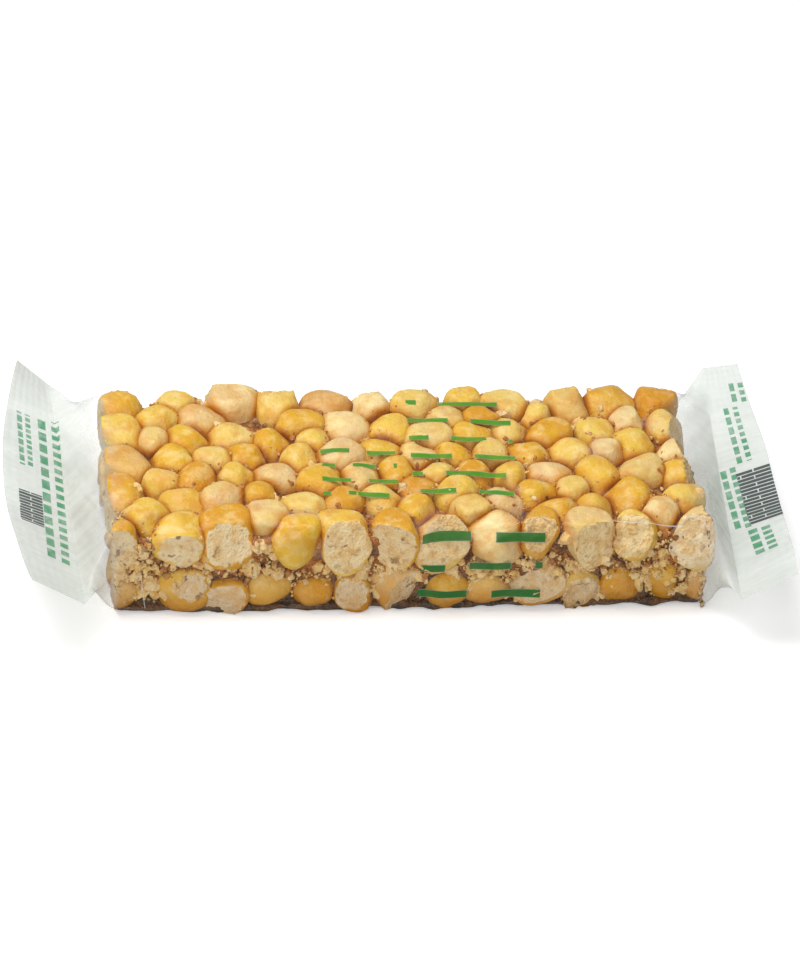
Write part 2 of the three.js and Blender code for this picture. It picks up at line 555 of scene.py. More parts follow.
def lay_strip(group, given):
    """Inside a group, the mask of a strip and the place along it, all in metres."""
    moved = put(group, "ShaderNodeVectorMath", {"operation": "SUBTRACT"}, i0=given["Place"], i1=given["Middle"])
    about_z = {"rotation_type": "Z_AXIS"}
    turned = put(group, "ShaderNodeVectorRotate", about_z, Vector=moved.outputs[0], Angle=given["Turn"]).outputs[0]
    split = put(group, "ShaderNodeSeparateXYZ", Vector=turned).outputs
    room = put(group, "ShaderNodeSeparateXYZ", Vector=given["Half Size"]).outputs
    inside = [calc(group, "LESS_THAN", calc(group, "ABSOLUTE", split[axis]), room[axis]) for axis in ("X", "Y")]
    along_strip = put(group, "ShaderNodeCombineXYZ", X=split["X"], Y=split["Y"]).outputs[0]
    return times(group, *inside), along_strip


def strip_effect():
    """A plain strip."""
    group, given, mask = new_effect("strip", ["Place", "Middle", "Half Size"], ["Turn"], "Mask")
    inside, _ = lay_strip(group, given)
    group.links.new(inside, mask)
    return group


def dashes_effect():
    """A strip with rows of plain dashes in it. The dash with its gaps, the row and the gap are in metres too."""
    numbers = ["Turn", "Dash", "Row", "Gap"]
    group, given, mask = new_effect("dashes", ["Place", "Middle", "Half Size"], numbers, "Mask")
    inside, along_strip = lay_strip(group, given)
    rows = put(
        group,
        "ShaderNodeTexBrick",
        {"offset": 0.37, "squash": 0.7, "squash_frequency": 3},
        Vector=along_strip,
        Scale=1,
        Color1=(1, 1, 1, 1),
        Color2=(1, 1, 1, 1),
        Mortar=(0, 0, 0, 1),
        Mortar_Smooth=0.1,
        Brick_Width=given["Dash"],
        Row_Height=given["Row"],
        Mortar_Size=given["Gap"],
    )
    group.links.new(times(group, inside, rows.outputs["Color"]), mask)
    return group


patches = mask_effect()
crumble = crumble_effect()
strip = strip_effect()
dashes = dashes_effect()


def effect(tree, group, **inputs):
    return put(tree, "ShaderNodeGroup", {"node_tree": group}, **inputs).outputs[0]


def patches_on(tree, place, per_metre, middle, softness):
    return effect(tree, patches, Place=place, Per_Metre=per_metre, Middle=middle, Softness=softness)


def patchy(tree, place, colour, other, share, per_metre, middle, softness):
    """The colour, turned towards another one up to this share in soft patches."""
    return blend(tree, times(tree, patches_on(tree, place, per_metre, middle, softness), share), colour, other)


def new_material(name, **settings):
    """A material, its tree and its shader, with the shader's constants set."""
    material = bpy.data.materials.new(name)
    material.use_nodes = True
    shader = material.node_tree.nodes["Principled BSDF"]
    feed(material.node_tree, shader, **settings)
    return material, material.node_tree, shader


def roughen(tree, shader, place, per_metre, grain, distance, strength=1.0):
    """Gives the surface the bumps of a crumbly one."""
    height = effect(tree, crumble, Place=place, Per_Metre=per_metre, Grain=grain)
    bump = put(tree, "ShaderNodeBump", Height=height, Distance=distance, Strength=strength)
    feed(tree, shader, Normal=bump.outputs[0])


# ---- finishes of the food

PEA_TONES = ((0.25, (231, 184, 46)), (0.5, (236, 199, 84)), (0.74, (234, 202, 116)), (0.88, (227, 191, 134)))

pea_skin, tree, shader = new_material(
    "pea_skin",
    Specular_IOR_Level=0.35,
    Subsurface_Weight=0.15,
    Subsurface_Radius=(1.0, 0.6, 0.2),
    Subsurface_Scale=0.0015,
)
place = place_on(tree)
shade = calc(tree, "SUBTRACT", times(tree, noise_on(tree, place, 150), 0.5), 0.25)
shade = calc(tree, "ADD", painted(tree, "tone"), shade, clamp=True)
ramp = put(tree, "ShaderNodeValToRGB", Fac=shade)
tones = ramp.color_ramp.elements
tones[0].color = rgb(220, 157, 22)
tones[1].color = rgb(248, 224, 160)
for position, tone in PEA_TONES:
    tones.new(position).color = rgb(*tone)
colour = patchy(tree, place, ramp.outputs["Color"], rgb(248, 220, 152), 0.5, 520, 0.55, 0.12)  # cloudy
colour = patchy(tree, place, colour, rgb(220, 146, 22), 0.5, 280, 0.56, 0.12)  # toasted
# caramel in the gaps, with painted shade where the peas touch and low down on the slab, darkens the skin
glaze_and_shade = painted(tree, "glaze_and_shade")
colour = blend(tree, times(tree, glaze_and_shade, 1.4, clamp=True), colour, rgb(216, 144, 20))
colour = blend(tree, times(tree, calc(tree, "POWER", glaze_and_shade, 2.5), 0.95), colour, rgb(140, 68, 6))
colour = patchy(tree, place, colour, rgb(176, 108, 30), 0.3, 1500, 0.68, 0.05)  # specks
feed(tree, shader, Base_Color=colour)
rough = put(tree, "ShaderNodeMapRange", Value=glaze_and_shade, To_Min=0.5, To_Max=0.3)
feed(tree, shader, Roughness=rough.outputs["Result"])
roughen(tree, shader, place, 800, 0.2, 0.0005, 0.6)

pea_inside, tree, shader = new_material("pea_inside", Roughness=0.72)
place = place_on(tree)
colour = blend(tree, painted(tree, "pale"), rgb(250, 212, 130), rgb(246, 230, 200))
colour = patchy(tree, place, colour, rgb(238, 212, 158), 0.5, 700, 0.5, 0.2)  # cloudy
# the pits and hollows are painted shade: brown patches where holes in the broken pea would lie in shade
colour = patchy(tree, place, colour, rgb(168, 116, 56), 0.5, 800, 0.62, 0.08)  # pits
colour = patchy(tree, place, colour, rgb(112, 66, 30), 0.8, 300, 0.66, 0.03)  # hollows
colour = patchy(tree, place, colour, rgb(226, 170, 76), 0.5, 380, 0.52, 0.12)  # yellow
# the same caramel and painted shade darken the inside
colour = blend(tree, times(tree, painted(tree, "glaze_and_shade"), 0.6), colour, rgb(186, 124, 44))
feed(tree, shader, Base_Color=colour)
roughen(tree, shader, place, 800, 0.4, 0.0007, 0.7)

syrup_gloss, tree, shader = new_material("syrup", Roughness=0.34, Coat_Weight=0.3, Coat_Roughness=0.12)
place = place_on(tree)
dark = patches_on(tree, place, 260, 0.5, 0.16)
colour = blend(tree, dark, rgb(178, 106, 22), rgb(94, 56, 20))
colour = patchy(tree, place, colour, rgb(206, 150, 74), 0.6, 900, 0.6, 0.08)  # crumbly
# painted shade: the syrup darkens towards the bottom of the slab, to a dark grey-brown
height = put(tree, "ShaderNodeSeparateXYZ", Vector=place).outputs["Z"]
low = put(tree, "ShaderNodeMapRange", Value=height, From_Min=9 * MM, From_Max=2 * MM).outputs["Result"]
painted_low_shade = blend(tree, dark, rgb(104, 76, 46), rgb(52, 42, 36))
colour = blend(tree, times(tree, low, 0.9), colour, painted_low_shade)
feed(tree, shader, Base_Color=colour)
roughen(tree, shader, place, 650, 0.5, 0.0008)


def crumb_finish(name, first, second, roughness, bumps_per_metre, grain):
    """Crumbs in two colours that turn into each other."""
    material, tree, shader = new_material(name, Roughness=roughness)
    place = place_on(tree)
    cloudy = patches_on(tree, place, 330, 0.5, 0.2)
    feed(tree, shader, Base_Color=blend(tree, cloudy, first, second))
    roughen(tree, shader, place, bumps_per_metre, grain, 0.0002)
    return material


crumb_cream = crumb_finish("crumb_cream", rgb(216, 164, 82), rgb(242, 210, 144), 0.75, 2500, 0.4)
crumb_caramel = crumb_finish("crumb_caramel", rgb(200, 138, 66), rgb(176, 108, 50), 0.28, 2000, 0.3)


# ---- the peas of the slab


def split_off(pea, at, way, crumble_depth, seed):
    """Saws off what lies beyond a plane and leaves the rough, pale inside of the pea."""
    take_up(pea)
    to_edit("SELECT")
    bpy.ops.mesh.bisect(plane_co=tuple(at), plane_no=tuple(way), use_fill=False)
    flatten_beyond(pea, at, way)
    pea.active_material_index = 1
    bpy.ops.object.material_slot_assign()
    bpy.ops.transform.vertex_random(offset=crumble_depth, uniform=0.25, normal=0.6, seed=seed)
    to_object()
    finish_with(pea, "SMOOTH", factor=0.4, iterations=1)


def row_of(pea):
    """The sawn side on which a pea shows, as an axis and a direction, or None for a pea of the middle."""
    for axis in (1, 0):
        if abs(pea["place"][axis]) > REACH[axis] - SIDE_BAND:
            return axis, math.copysign(1, pea["place"][axis])
    return None


def fill_row(near, axis, side, length, draw):
    """Sets the peas near a side in one row that fills this length, and gives back those that it has room for.

    Of two that would fill the same place the larger stays. All of a row are split past their middle.
    """
    run = 1 - axis
    row = []
    for pea in sorted(near, key=lambda pea: -pea["radius"]):
        at = pea["place"][run]
        if all(abs(at - other["place"][run]) > ROW_OVERLAP * (pea["radius"] + other["radius"]) for other in row):
            row.append(pea)
    row.sort(key=lambda pea: pea["place"][run])
    fill = length / sum(2 * pea["radius"] for pea in row)
    at = -length / 2
    for pea in row:
        width = 2 * pea["radius"] * fill
        pea["place"][run] = at + width / 2 + (draw() - 0.5) * ROW_JITTER
        at += width
        pea["radius"] = min(pea["radius"] * held(fill, ROW_FILL_LEAST, ROW_FILL_MOST), PEA_RADIUS_LARGE)
        inside = (ROW_INSIDE + ROW_INSIDE_MORE * draw()) * pea["radius"]
        pea["place"][axis] = side * (REACH[axis] - pea["split"] - FILM_ROOM - inside)
        pea["row"] = axis
    return row


def set_in_rows(peas):
    """Sets the peas of each sawn side in one row a layer, and keeps those of the middle as they are."""
    draw = seeded_random(ROW_SEED)
    kept = [pea for pea in peas if row_of(pea) is None]
    for axis, length in ROW_LENGTHS:
        for side in (1, -1):
            for layer in range(LAYERS):
                near = [pea for pea in peas if pea["layer"] == layer and row_of(pea) == (axis, side)]
                kept += fill_row(near, axis, side, length, draw)
    return kept


def settle_in(pea):
    """Brings a pea up to the film. Along the sides it stands prouder and hangs down further."""
    in_row, on_top = "row" in pea, pea["layer"] == TOP_LAYER
    surface = pea["radius"] + (ROW_RISE if in_row else 0)
    pea["stretch"][2] = ROW_STRETCH if in_row and on_top else STRETCH
    pea["radius"] *= ROW_GROWTH if in_row else MIDDLE_GROWTH
    shift = surface - PEA_FLATNESS * pea["stretch"][2] * pea["radius"]
    pea["place"][2] += shift if on_top else -shift


def spread_again():
    """Pushes the moved peas apart once more. They keep their level, and those of a row keep to it."""
    rest = [list(pea["place"]) for pea in peas]
    for _ in range(SPREAD_AGAIN_STEPS):
        push_all_apart(peas)
        for pea, place in zip(peas, rest):
            pea["place"][2] = place[2]
            if "row" in pea:
                pea["place"][pea["row"]] = place[pea["row"]]


def meet_side(twin, pea, axis, draw, seed):
    """Splits a pea where it crosses a saw line, or presses it in as the film and its neighbours would."""
    place = Vector(pea["place"]) * MM
    side = 1 if place[axis] > 0 else -1
    limit = (REACH[axis] - FILM_ROOM) * MM
    outer = max(vertex.co[axis] * side for vertex in twin.data.vertices)
    most_squeeze = WHOLE_SQUEEZE if draw() < WHOLE_SHARES[pea["layer"]] else ANY_SQUEEZE
    if outer < limit:
        return
    inner = min(vertex.co[axis] * side for vertex in twin.data.vertices)
    squeeze = (limit - inner) / (outer - inner)
    if squeeze > most_squeeze:
        pressed = Matrix.Identity(4)
        pressed[axis][axis] = squeeze
        pressed[axis][3] = side * inner * (1 - squeeze)
        twin.data.transform(pressed)
        return
    lean = Vector(((draw() - 0.5) * SAW_LEAN, (draw() - 0.5) * SAW_LEAN, (draw() - SAW_LEAN_MIDDLE) * SAW_LEAN_UP))
    place[axis] = side * (REACH[axis] - pea["split"] - FILM_ROOM) * MM
    crumble_depth = (CRUMBLE_LEAST + CRUMBLE_MORE * draw() * draw()) * MM
    split_off(twin, place, (facing(axis, side) + lean).normalized(), crumble_depth, seed)


def hold_in_levels(twin):
    """Nothing stands past the levels that the slab was pressed and sawn to."""
    for axis in range(3):
        for side in (1, -1):
            level = (REACH[axis] - FILM_ROOM) * MM
            if axis == 2 and side == -1:
                level = -FILM_ROOM * MM
            if any(vertex.co[axis] * side > level for vertex in twin.data.vertices):
                way = facing(axis, side)
                press_beyond(twin, way * level, way, LEVEL_KEEP)


def glaze_and_shade_on(twin, pea, draw):
    """How much caramel and painted shade lie on each point of a pea: caramel with painted contact shade in the gaps
    to its neighbours, painted shade low down, or caramel all over.
    """
    near = []
    for other in peas:
        apart = (Vector(other["place"]) - Vector(pea["place"])).length
        if other is not pea and apart < other["radius"] + pea["radius"] + NEAR_GAP:
            near.append((Vector(other["place"]) * MM, other["radius"] * MM))
    coated = COATED_MOST * draw() if draw() < COATED_SHARE else 0
    glaze_and_shade = []
    for vertex in twin.data.vertices:
        gap = min(((vertex.co - middle).length - radius for middle, radius in near), default=1)
        # caramel with painted contact shade, near the neighbours
        near_pea = held((GLAZE_SHADE_GAP * MM - gap) / (GLAZE_SHADE_FADE * MM)) ** GLAZE_SHADE_POWER
        sawn = min(REACH[axis] * MM - abs(vertex.co[axis]) for axis in (0, 1))
        covered = held((sawn - SAWN_BARE * MM) / (SAWN_FADE * MM))
        # painted shade, darker towards the bottom of the slab
        low_shade = held((LOW_SHADE_LEVEL * MM - vertex.co.z) / (LOW_SHADE_LEVEL * MM)) * LOW_SHADE_MOST
        glaze_and_shade.append(max(near_pea * covered, low_shade, coated))
    return glaze_and_shade


def pea_at(pea, number):
    """One pea of the slab, copied from a shape, placed, and split where it crosses the saw lines."""
    draw = seeded_random(PEA_SEEDS + number)
    shape = pea_shapes[int(draw() * len(pea_shapes))]
    twin = copy_of(shape, f"pea_{number}")
    radius = pea["radius"] * MM
    spread = (PEA_SPREAD, PEA_SPREAD, PEA_FLATNESS)
    stretch = Matrix.Diagonal([s * radius * part for s, part in zip(pea["stretch"], spread)] + [1])
    turn = Euler(pea["turn"], "XYZ").to_matrix().to_4x4()
    twin.data.transform(Matrix.Translation(Vector(pea["place"]) * MM) @ turn @ stretch @ any_turn(draw))
    twin.data.materials.append(pea_skin)
    twin.data.materials.append(pea_inside)
    for axis in (0, 1):
        meet_side(twin, pea, axis, draw, number)
    hold_in_levels(twin)
    count = len(twin.data.vertices)
    paint_value(twin, "tone", [draw()] * count)
    paint_value(twin, "pale", [draw()] * count)
    paint_value(twin, "glaze_and_shade", glaze_and_shade_on(twin, pea, draw))
    return twin


peas = set_in_rows(peas)
for pea in peas:
    settle_in(pea)
spread_again()
whole_peas = [pea_at(pea, number) for number, pea in enumerate(peas)]
top_peas, base_peas = (
    join([twin for twin, pea in zip(whole_peas, peas) if pea["layer"] == layer], name)
    for layer, name in ((TOP_LAYER, "peas_top"), (0, "peas_base"))
)
for shape in pea_shapes:
    bpy.data.objects.remove(shape)


# ---- the syrup between them

core = add_box(
    "core",
    BAR_LENGTH - 2 * SYRUP_INSET,
    BAR_WIDTH - 2 * SYRUP_INSET,
    BAR_HEIGHT - SYRUP_TOP_DEPTH,
    FILM_ROOM,
)
syrup = join([core, copy_of(top_peas, "a"), copy_of(base_peas, "b")], "syrup")
syrup.data.materials.clear()
finish_with(syrup, "REMESH", mode="VOXEL", voxel_size=SYRUP_VOXEL * MM)
outside = copy_of(syrup, "outside")  # what the film will be drawn over
finish_with(syrup, "SMOOTH", factor=0.5, iterations=8)
finish_with(syrup, "DISPLACE", strength=-SYRUP_SINK * MM, mid_level=0)
foot = add_box(
    "foot",
    BAR_LENGTH - 2 * FOOT_INSET_ENDS,
    BAR_WIDTH - 2 * FOOT_INSET_SIDES,
    FOOT_HEIGHT,
    FOOT_LEVEL,
)
finish_with(foot, "REMESH", mode="VOXEL", voxel_size=FOOT_VOXEL * MM)
lump(foot, FOOT_LUMP_SIZE * MM, FOOT_LUMP_HEIGHT * MM, (0, 0, 0))
press_beyond(foot, Vector((0, 0, FOOT_LEVEL * MM)), facing(2, -1))
syrup = join([syrup, foot], "syrup")
paint_all(syrup, syrup_gloss)
take_up(syrup)
bpy.ops.object.shade_smooth()


# ---- the crumbs


def crumb_shape(number, flatness):
    """A crumb of a few dozen faces."""
    name = f"crumb_shape_{number}"
    crumb = add_shape(name, bpy.ops.mesh.primitive_uv_sphere_add, segments=6, ring_count=4, radius=1)
    to_edit("SELECT")
    bpy.ops.transform.vertex_random(offset=0.35, uniform=0.5, normal=0.3, seed=CRUMB_SEEDS + number)
    to_object()
    crumb.data.transform(Matrix.Diagonal((1, 0.85, flatness, 1)))
    return crumb


def bit_shape(number, flatness):
    """A broken-off piece of pea, with a flat or two where it broke."""
    bit = add_shape(f"bit_shape_{number}", bpy.ops.mesh.primitive_ico_sphere_add, subdivisions=2, radius=1)
    to_edit()
    way = Vector((0.2, 0.1 * number, 1)).normalized()
    flatten_beyond(bit, way * 0.35, way, 0.1)
    bpy.ops.mesh.select_all(action="SELECT")
    bpy.ops.transform.vertex_random(offset=0.2, uniform=0.6, normal=0.4, seed=BIT_SEEDS + number)
    to_object()
    bit.data.transform(Matrix.Diagonal((1, 0.8, flatness, 1)))
    return bit


crumb_shapes = [crumb_shape(number, flatness) for number, flatness in enumerate((0.9, 0.6, 0.45))]
bit_shapes = [bit_shape(number, flatness) for number, flatness in enumerate((0.9, 0.7, 0.8))]

# the middle of each pea and its radius, a little larger for a stretched one
pea_balls = [(Vector(pea["place"]) * MM, pea["radius"] * MM * (1 + 0.8 * (pea["stretch"][2] - 1))) for pea in peas]


def strew(name, shapes, finish, count, seed, sizes, between, faces, crumbly_from=BAR_LENGTH):
    """Drops crumbs on the slab from the given faces, into hollows at least as deep as each face asks.

    A face is the way looked, its share of the crumbs, its least depth, and the lowest and highest level.
    Crumbs lie this far from the nearest pea or further, but anywhere on the sides and ends beyond crumbly_from.
    All of it is in millimetres.
    """
    draw = seeded_random(seed)
    smallest, largest = sizes
    total = sum(face[1] for face in faces)
    places = []
    for _ in range(count):
        pick = draw() * total
        for look_along, share, least, low, high in faces:
            pick -= share
            if pick <= 0:
                break
        x, y = ((draw() - 0.5) * (room - 1) * MM for room in (BAR_LENGTH, BAR_WIDTH))
        start = Vector((x, y, (low + draw() * (high - low)) * MM))
        size = (smallest + (largest - smallest) * draw() * draw()) * MM
        toss = any_turn(draw)
        shape = shapes[int(draw() * len(shapes))]
        axis = max(range(3), key=lambda a: abs(look_along[a]))
        start[axis] = -look_along[axis] * CRUMB_FAR
        hit, where, normal, _ = outside.ray_cast(start, Vector(look_along))
        if not hit:
            continue
        hollow = REACH[axis] * MM - abs(where[axis])
        if hollow < max(least * MM, size * CRUMB_HIDDEN) or hollow > DEEPEST_HOLLOW * MM:
            continue
        clear = min((where - middle).length - radius for middle, radius in pea_balls)
        anywhere = axis != 2 and abs(where.x) > crumbly_from * MM
        if clear < (CRUMBLY_BETWEEN if anywhere else between) * MM:
            continue
        sunk = Matrix.Translation(where - normal * size * CRUMB_SUNK)
        places.append((shape, sunk @ toss @ Matrix.Scale(size, 4)))
    strewn = []
    for shape, place in places:
        twin = copy_of(shape, "crumb")
        twin.data.transform(place)
        for label in ("tone", "pale"):
            paint_value(twin, label, [draw() * 0.5] * len(twin.data.vertices))
        strewn.append(twin)
    piece = join(strewn, name)
    paint_all(piece, finish)
    take_up(piece)
    bpy.ops.object.shade_smooth_by_angle(angle=CRUMB_SMOOTH_ANGLE)
    return piece


TOP, FRONT, BACK = (0, 0, -1), (0, 1, 0), (0, -1, 0)
LEFT, RIGHT = (1, 0, 0), (-1, 0, 0)
cream = strew(
    "crumbs_cream",
    crumb_shapes,
    crumb_cream,
    count=6400,
    seed=61,
    sizes=(0.18, 0.55),
    between=0.15,
    crumbly_from=49,
    faces=(
        (TOP, 2, 0.8, 0, 0),
        (FRONT, 2.4, 0.3, 2, 15),
        (BACK, 1, 0.3, 2, 17),
        (LEFT, 1, 0, 3, 17),
        (RIGHT, 1, 0, 3, 17),
    ),
)
caramel_bits = strew(
    "crumbs_caramel",
    crumb_shapes,
    crumb_caramel,
    count=3600,
    seed=62,
    sizes=(0.22, 0.9),
    between=0,
    faces=(
        (TOP, 1.8, 0.9, 0, 0),
        (FRONT, 0.8, 0.8, 6, 17),
        (BACK, 0.6, 0.8, 6, 17),
        (LEFT, 0.4, 0.8, 5, 17),
        (RIGHT, 0.4, 0.8, 5, 17),
    ),
)
pea_bits = strew(
    "pea_bits",
    bit_shapes,
    pea_inside,
    count=1100,
    seed=63,
    sizes=(0.6, 2.1),
    between=-0.5,
    faces=(
        (TOP, 1, 1.2, 0, 0),
        (FRONT, 2.6, 0.5, 2, 15),
        (BACK, 1.6, 0.5, 2, 17.5),
        (LEFT, 0.8, 0.5, 3, 15),
        (RIGHT, 0.8, 0.5, 3, 15),
    ),
)
for shape in bit_shapes + crumb_shapes:
    bpy.data.objects.remove(shape)


# ---- the film

outside = join([outside] + [copy_of(piece, "c") for piece in (cream, caramel_bits, pea_bits)], "outside")
finish_with(outside, "REMESH", mode="VOXEL", voxel_size=SYRUP_VOXEL * MM)

SLEEVE_END = REACH[0] + WRAP_GAP
FIN_REACH = REACH[1] + FIN_CORNER
WIDTH_STEPS, HEIGHT_STEPS = 46, 18  # about a millimetre of film a step
SLEEVE_STEPS, PLEAT_STEPS, FIN_STEPS = 104, 12, 10
FILM_GAP = 0.3  # between the two films of a fin
GATHER_DEPTH = 0.55  # of the folds in a pleat
GATHER_WAVES = (9.3, 23)
FLUSH_ROOM = 0.15  # between the film and the food where it first clings, and wherever it is drawn taut
TAUT_ROOM = 0.12
CLING = 0.75
TAUT_ROUNDS = 5
FILM_WELD = 0.01
FILM_SMOOTH_ANGLE = math.radians(50)
HAZE_FROM, HAZE_OVER = 49.5, 5  # where the film by the slab's ends grows milky, in millimetres from the middle
SLEEVE_HAZE, PLEAT_HAZE, FIN_HAZE = 0.18, 0.26, 0.16
STATIONS = SLEEVE_STEPS + 2 * (PLEAT_STEPS + FIN_STEPS)
ROUND_STEPS = 2 * (WIDTH_STEPS + HEIGHT_STEPS)


def section_point(step):
    """A step round the film from the middle of its underside, as a place on a square from -1 to 1."""
    half_width = WIDTH_STEPS / 2
    if step <= half_width:
        return step / half_width, -1
    if step <= half_width + HEIGHT_STEPS:
        return 1, 2 * (step - half_width) / HEIGHT_STEPS - 1
    if step <= half_width + HEIGHT_STEPS + WIDTH_STEPS:
        return 1 - (step - half_width - HEIGHT_STEPS) / half_width, 1
    if step <= half_width + 2 * HEIGHT_STEPS + WIDTH_STEPS:
        return -1, 1 - 2 * (step - half_width - HEIGHT_STEPS - WIDTH_STEPS) / HEIGHT_STEPS
    return (step - ROUND_STEPS) / half_width, -1


def along(line, y):
    """The place at y on a line that bends evenly through its front, middle and back places."""
    front, middle, back = line
    across = y / FIN_REACH
    return middle + (back - front) / 2 * across + ((back + front) / 2 - middle) * across * across


def film_place(station, step):
    """Where this point of the film lies, in millimetres, and how far along the pleat and the fin it is."""
    a, b = section_point(step)
    half_width, middle_height = REACH[1] + FILM_ROOM, BAR_HEIGHT / 2
    outer = Vector((a * half_width, b * middle_height))
    limit = Vector((half_width - SLEEVE_ROUND, middle_height - SLEEVE_ROUND))
    inner = Vector((held(outer.x, -limit.x, limit.x), held(outer.y, -limit.y, limit.y)))
    rounded = inner + (outer - inner).normalized() * SLEEVE_ROUND if (outer - inner).length > 0 else outer
    from_end = min(station, STATIONS - station)
    side = -1 if station < STATIONS / 2 else 1
    if from_end >= PLEAT_STEPS + FIN_STEPS:
        share = (station - PLEAT_STEPS - FIN_STEPS) / SLEEVE_STEPS
        return Vector(((2 * share - 1) * SLEEVE_END, rounded.x, rounded.y + middle_height)), 0, 0
    end = ENDS[side]
    pleat = min((PLEAT_STEPS + FIN_STEPS - from_end) / PLEAT_STEPS, 1)
    fin = held((FIN_STEPS - from_end) / (FIN_STEPS - 1))
    spread = pleat * (3 - pleat) / 2
    closed = pleat * (1 + pleat) / 2
    fold = 1 - abs(b) if abs(a) == 1 else 0
    flat = rounded.lerp(outer, pleat)
    y = flat.x + (fold * FIN_CORNER * spread if a > 0 else -fold * FIN_CORNER * spread)
    across = y / FIN_REACH
    wave = math.sin(end["ripples"] * math.pi * across) * FIN_RIPPLE * fin
    up = along(end["root"][1], y) * (1 - fin) + along(end["edge"][1], y) * fin + wave
    out = along(end["root"][0], y) * (1 - fin) + along(end["edge"][0], y) * fin
    wide, narrow = GATHER_WAVES
    folds = GATHER_DEPTH * math.sin(wide * across + side) * math.sin(narrow * across + 2 * side)
    height = flat.y + middle_height
    apart = 0 if from_end == 0 else math.copysign(math.sqrt(abs(b)), b) * FILM_GAP / 2
    shut = up + apart
    x = side * (SLEEVE_END + (out - SLEEVE_END) * pleat)
    return Vector((x, y, height + (shut - height) * closed + folds * 4 * pleat * (1 - pleat))), pleat, fin


def draw_over_food(mode, room, group):
    """Brings the film to the food."""
    finish_with(
        film,
        "SHRINKWRAP",
        target=outside,
        wrap_method="NEAREST_SURFACEPOINT",
        wrap_mode=mode,
        offset=room * MM,
        vertex_group=group,
    )


grid = {"x_subdivisions": STATIONS, "y_subdivisions": ROUND_STEPS, "size": 2}
film = add_shape("film", bpy.ops.mesh.primitive_grid_add, **grid)
marks = {"haze": [], "upper": [], "front": [], "crimp": []}
taut = []
for vertex in film.data.vertices:
    station = round((vertex.co.x + 1) / 2 * STATIONS)
    step = round((vertex.co.y + 1) / 2 * ROUND_STEPS)
    place, pleat, fin = film_place(STATIONS - station, step)
    vertex.co = place * MM
    a, b = section_point(step)
    near_end = held((abs(place.x) - HAZE_FROM) / HAZE_OVER)
    marks["haze"].append(SLEEVE_HAZE * near_end**2 + PLEAT_HAZE * pleat + FIN_HAZE * fin)
    marks["upper"].append(1.0 if b == 1 or (pleat > 0 and b > 0) else 0.0)
    marks["front"].append(1.0 if a == -1 and pleat == 0 else 0.0)
    marks["crimp"].append(fin)
    taut.append(1 - pleat)
for name, values in marks.items():
    paint_value(film, name, values)
for name, most in (("taut", 1), ("cling", CLING)):
    group = film.vertex_groups.new(name=name)
    for index, weight in enumerate(taut):
        group.add([index], weight * most, "REPLACE")
take_up(film)
to_edit("SELECT")
bpy.ops.mesh.remove_doubles(threshold=FILM_WELD * MM)
to_object()
draw_over_food("ABOVE_SURFACE", FLUSH_ROOM, "cling")
for _ in range(TAUT_ROUNDS):
    finish_with(film, "SMOOTH", factor=0.5, iterations=3, vertex_group="taut")
    draw_over_food("OUTSIDE", TAUT_ROOM, "taut")
press_beyond(film, Vector((0, 0, 0)), facing(2, -1))
take_up(film)
bpy.ops.object.shade_smooth_by_angle(angle=FILM_SMOOTH_ANGLE)
bpy.data.objects.remove(outside)


# ---- the finish of the film

clear_film, tree, shader = new_material("clear_film", Roughness=0.35)
place = place_on(tree)
split = put(tree, "ShaderNodeSeparateXYZ", Vector=place)


def strongest(*masks):
    total = masks[0]
    for mask in masks[1:]:
        total = calc(tree, "MAXIMUM", total, mask)
    return total


def strips_on(face, where, *strips):
    """Strips on one face of the film, one over the other.

    Each is given by its middle, half its size and its turn, in millimetres and degrees, and if it has rows of dashes
    by the dash, the row and the gap.
    """
    masks = []
    for x, y, half_x, half_y, turn, *rows in strips:
        settings = {label: size * MM for label, size in zip(("Dash", "Row", "Gap"), rows)}
        middle, half_size = (x * MM, y * MM, 0), (half_x * MM, half_y * MM, 1)
        settings.update(Place=where, Middle=middle, Half_Size=half_size, Turn=math.radians(turn))
        masks.append(times(tree, effect(tree, dashes if rows else strip, **settings), face))
    return strongest(*masks)


on_top, on_front = (calc(tree, "GREATER_THAN", painted(tree, face), 0.5) for face in ("upper", "front"))
upright = put(tree, "ShaderNodeCombineXYZ", X=split.outputs["X"], Y=split.outputs["Z"]).outputs[0]
leaf = strips_on(
    on_top,
    place,
    (11, 2.5, 9.5, 18, 3, 15, 5.4, 2.15),
    (-8.5, -5, 6.8, 8.6, 3, 10.5, 4.3, 1.65),
)
forest = strips_on(on_front, upright, (12, 7, 11, 11, 0, 17, 6, 2.3))
teal = strips_on(
    on_top,
    place,
    (-63, -1, 22, 2.5, 90, 3.6, 2.5, 0.55),
    (-67.6, 12, 8, 1.5, 90, 2.4, 1.5, 0.3),
    (61.2, -4, 9, 1.7, 90, 2.9, 1.7, 0.35),
    (63.6, -18, 4, 2.2, 90, 2.4, 2.2, 0.35),
    (64.4, 13, 8, 1.7, 90, 2.9, 1.7, 0.4),
    (66.4, 25, 3, 1.7, 90, 2.9, 1.7, 0.4),
)
dark = strips_on(
    on_top,
    place,
    (65.4, -5, 3, 7.5, 0, 9, 0.95, 0.12),
    (-67.2, -8, 2.1, 5, 0, 8, 0.9, 0.12),
)
